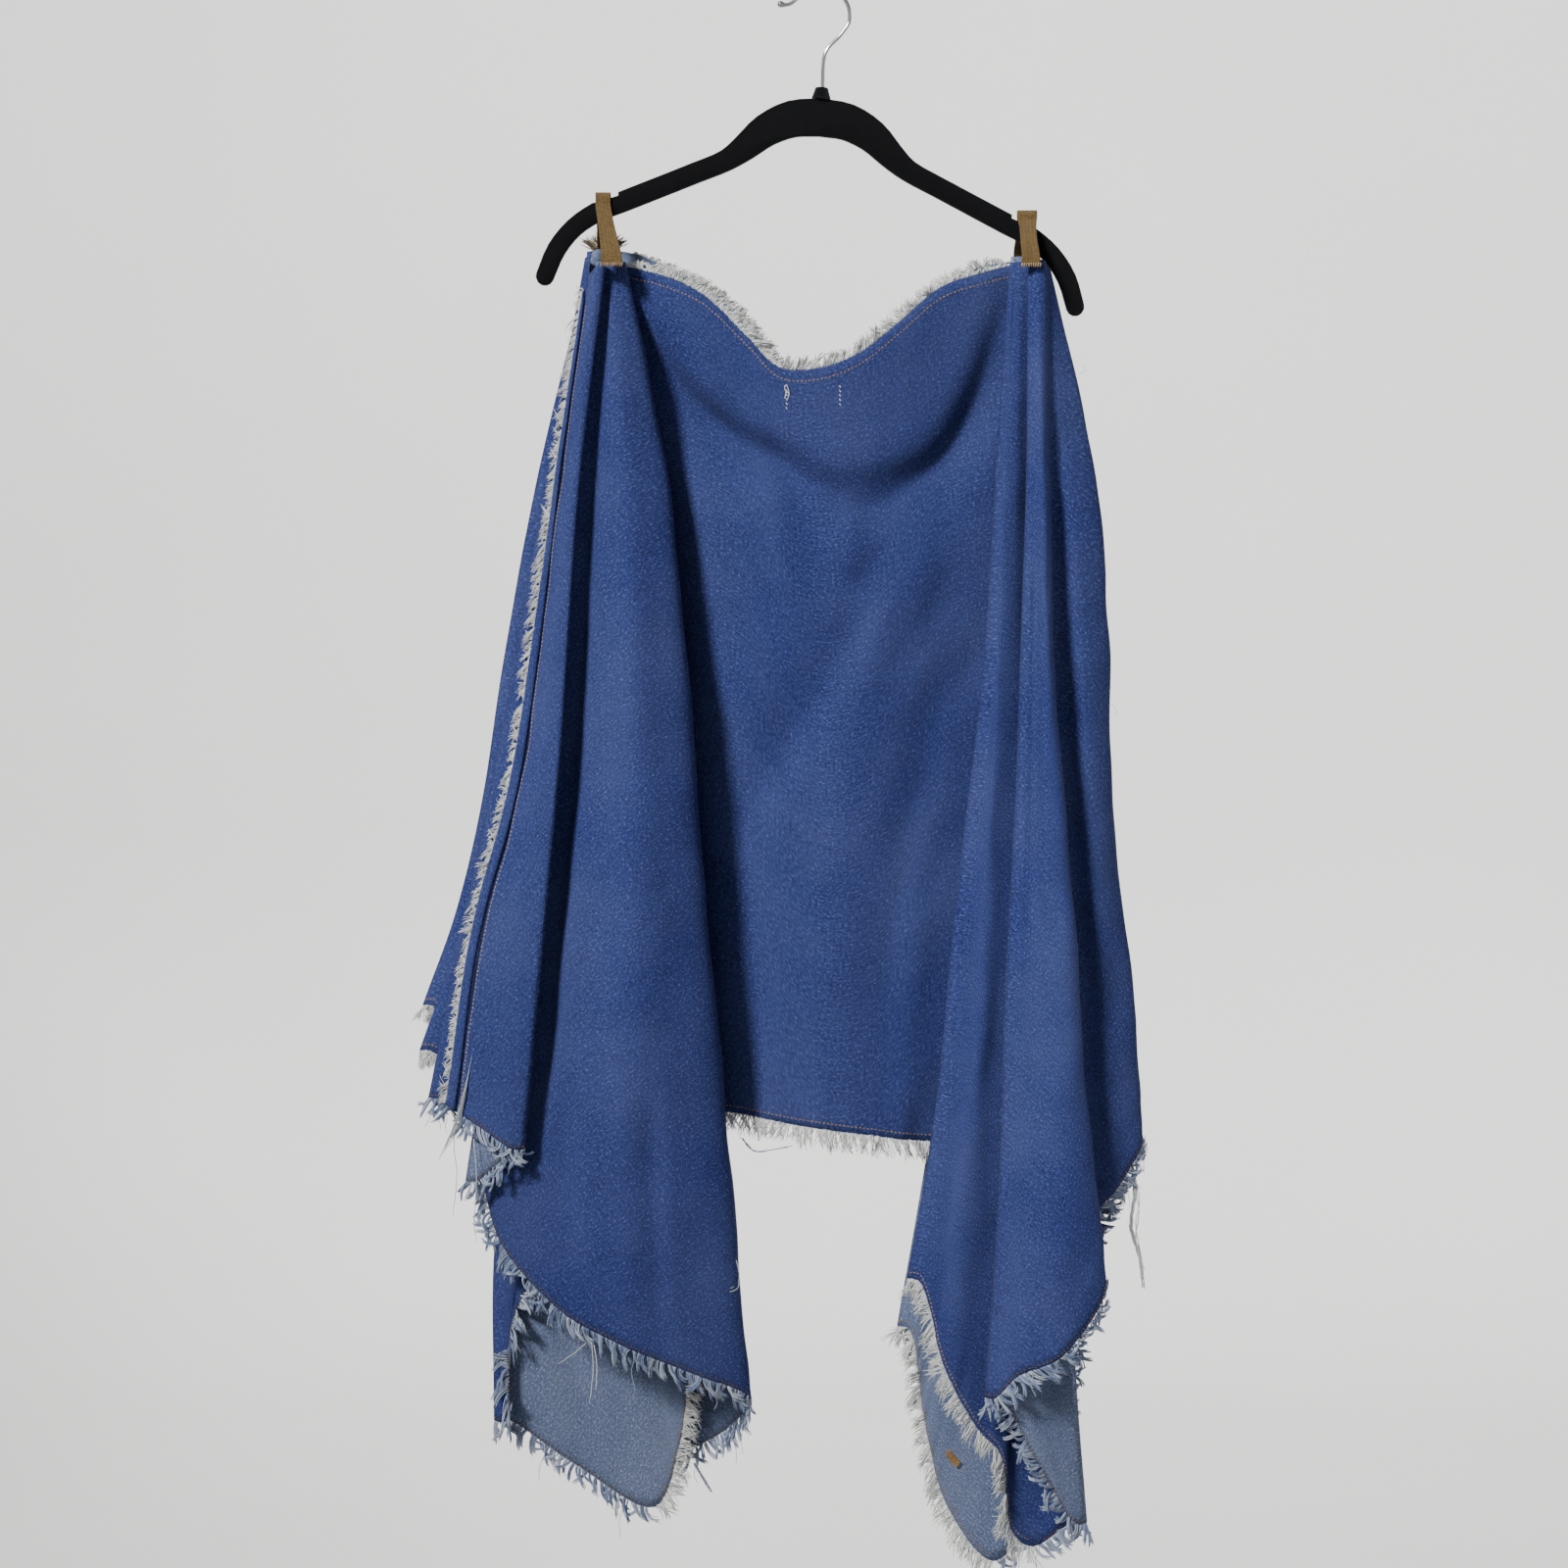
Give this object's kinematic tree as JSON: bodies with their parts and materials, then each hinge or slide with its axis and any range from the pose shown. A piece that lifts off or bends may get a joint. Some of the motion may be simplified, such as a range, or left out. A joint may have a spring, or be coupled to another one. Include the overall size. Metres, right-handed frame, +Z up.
{
  "type": "denim poncho on a hanger",
  "caption": "Open-sided denim poncho with raw frayed edges, hung by tape loops on a flocked hanger with a wire hook.",
  "frame": {"origin": "the hook's bearing, where the inside of the wire's top rests on a rail", "axes": "+Z up, +X to the right as seen from the garment's back, +Y from the back panel to the front panel"},
  "size_m": [0.5771, 0.1291, 1.2661],
  "materials": {
    "denim": "mid indigo twill, lighter grey-blue on its wrong side",
    "weft_fringe": "loose off-white cotton weft threads",
    "warp_fringe": "curly blue and white cotton warp threads",
    "tape": "ribbed tan hanger tape",
    "flock": "black velvet flock over a moulded hanger",
    "chrome": "bright plated steel wire"
  },
  "bodies": {
    "root": {"hanger": "flock", "hanger_collar": "flock", "hook": "chrome", "loop_left": "tape", "loop_right": "tape", "loop_fray_left": "tape", "back_panel": "denim", "front_panel": "denim", "back_neck_fringe": "weft_fringe", "front_neck_fringe": "weft_fringe", "back_hem_fringe": "weft_fringe", "front_hem_fringe": "weft_fringe", "shoulder_seam_left": "weft_fringe", "shoulder_seam_right": "weft_fringe", "back_side_fringe_left": "warp_fringe", "back_side_fringe_right": "warp_fringe", "front_side_fringe_left": "warp_fringe", "front_side_fringe_right": "warp_fringe"}
  },
  "joints": []
}
